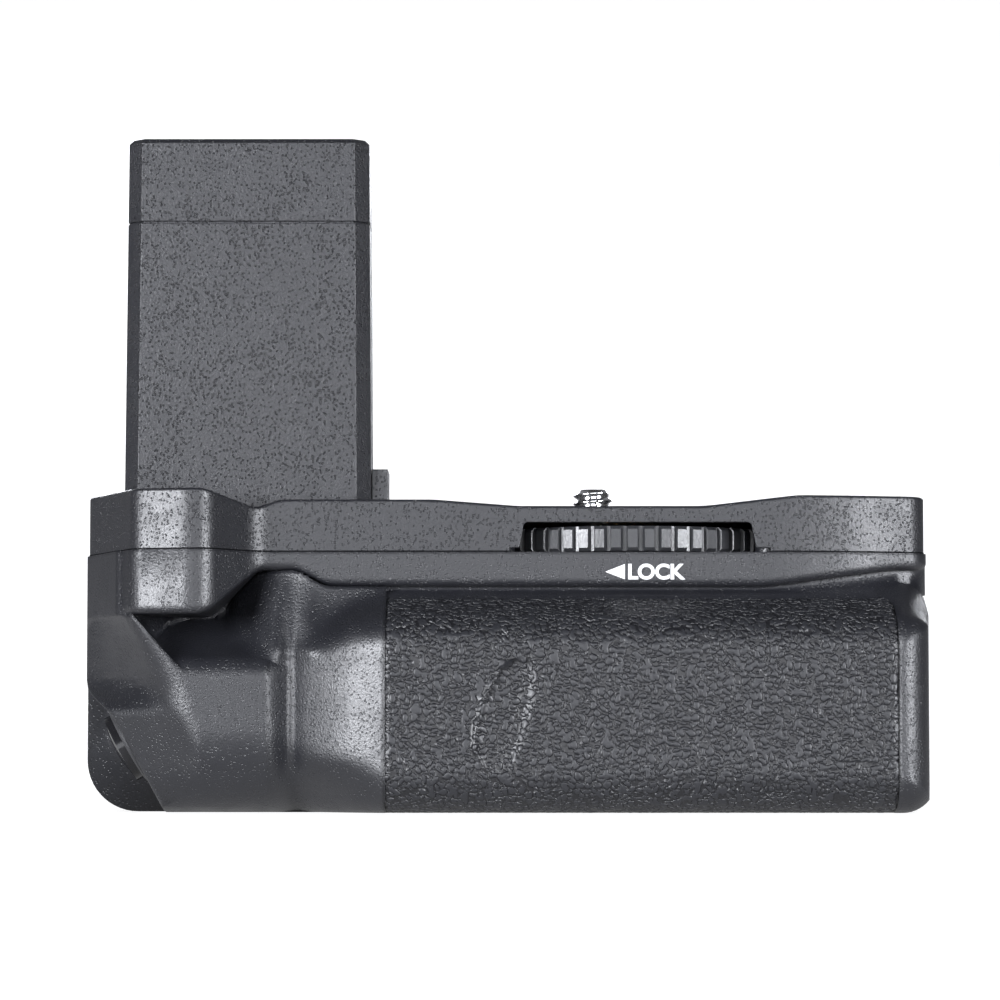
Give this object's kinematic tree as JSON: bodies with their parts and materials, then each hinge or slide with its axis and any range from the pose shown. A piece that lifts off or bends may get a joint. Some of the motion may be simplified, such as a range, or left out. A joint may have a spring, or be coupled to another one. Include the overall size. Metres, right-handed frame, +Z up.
{
  "type": "vertical battery grip",
  "caption": "Vertical camera battery grip with a battery-shaped stem, geared lock wheel and tripod screw, second shutter button and an end door.",
  "frame": {"origin": "centre of the tripod socket on the plane that the grip stands on", "axes": "+X to the right of someone who looks at the front, +Z up towards the camera, the front faces -Y"},
  "size_m": [0.1306, 0.0583, 0.1042],
  "materials": {
    "housing": "spark-eroded black ABS",
    "leatherette": "moulded leather grain",
    "pad_rubber": "matt rubber",
    "wheel": "satin black",
    "inner_plastic": "plain moulded",
    "steel": "plain",
    "black_screw": "blackened",
    "chrome": "bright",
    "gear_brass": "machined",
    "button_gloss": "glossy black",
    "knob": "satin",
    "component": "moulded case",
    "circuit_board": "solder mask",
    "gilt": "gold flash",
    "lamp": "clear light pipe",
    "foam": "soft foam"
  },
  "bodies": {
    "housing": {"lower_housing": "housing", "upper_housing": "housing", "stem_housing": "housing", "stem_cap": "housing", "stem_contacts": "gilt", "grip_cover": "leatherette", "thumb_pad": "leatherette", "deck_pad": "pad_rubber", "left_foot_pad": "pad_rubber", "right_foot_pad": "pad_rubber", "tripod_bush": "chrome", "wheel_hub": "inner_plastic", "chassis_plate": "steel", "chassis_screws": "steel", "deck_screws": "black_screw", "stem_screws": "steel", "shutter_collar": "button_gloss", "shutter_spring": "steel", "shutter_switch": "component", "shutter_board": "circuit_board", "shutter_holder": "inner_plastic", "battery_bay": "inner_plastic", "contact_block": "inner_plastic", "bay_contacts": "gilt", "eject_springs": "steel", "door_hinge_pin": "steel", "main_board": "circuit_board", "board_parts": "component", "board_screws": "steel", "switch_body": "component", "status_lamp": "lamp", "remote_jack": "component"},
    "lock_wheel": {"lock_wheel": "wheel"},
    "camera_screw": {"tripod_screw": "chrome", "screw_gear": "gear_brass", "screw_clip": "steel"},
    "shutter_button": {"shutter_button": "button_gloss"},
    "battery_door": {"battery_door": "housing", "door_pad": "foam", "latch_spring": "steel"},
    "door_latch": {"door_latch": "knob"},
    "power_knob": {"power_knob": "knob"}
  },
  "joints": [
    {"name": "wheel_spin", "type": "hinge", "parent": "housing", "child": "lock_wheel", "pos_m": [0.0195, 0.00371, 0.0419], "axis": [0, 0, 1], "continuous": true},
    {"name": "screw_spin", "type": "hinge", "parent": "housing", "child": "camera_screw", "pos_m": [0.0135, 0.009, 0.0424], "axis": [0, 0, 1], "continuous": true},
    {"name": "shutter_press", "type": "slide", "parent": "housing", "child": "shutter_button", "axis": [0.875, 0, 0.4841], "range_m": [0, 0.001], "stiffness_N_per_m": 500, "springref_m": -0.0008, "deforming": ["shutter_spring"]},
    {"name": "door_swing", "type": "hinge", "parent": "housing", "child": "battery_door", "pos_m": [0.06335, 0.026, 0.0177], "axis": [0, 0, 1], "range_deg": [0, 105]},
    {"name": "latch_slide", "type": "slide", "parent": "battery_door", "child": "door_latch", "axis": [0, 1, 0], "range_m": [0, 0.0025], "stiffness_N_per_m": 200, "springref_m": -0.001, "deforming": ["latch_spring"]},
    {"name": "power_slide", "type": "slide", "parent": "housing", "child": "power_knob", "axis": [1, 0, 0], "range_m": [0, 0.003]}
  ],
  "couplings": [
    {"joint": "screw_spin", "follows": "wheel_spin", "ratio": 1.8333}
  ]
}
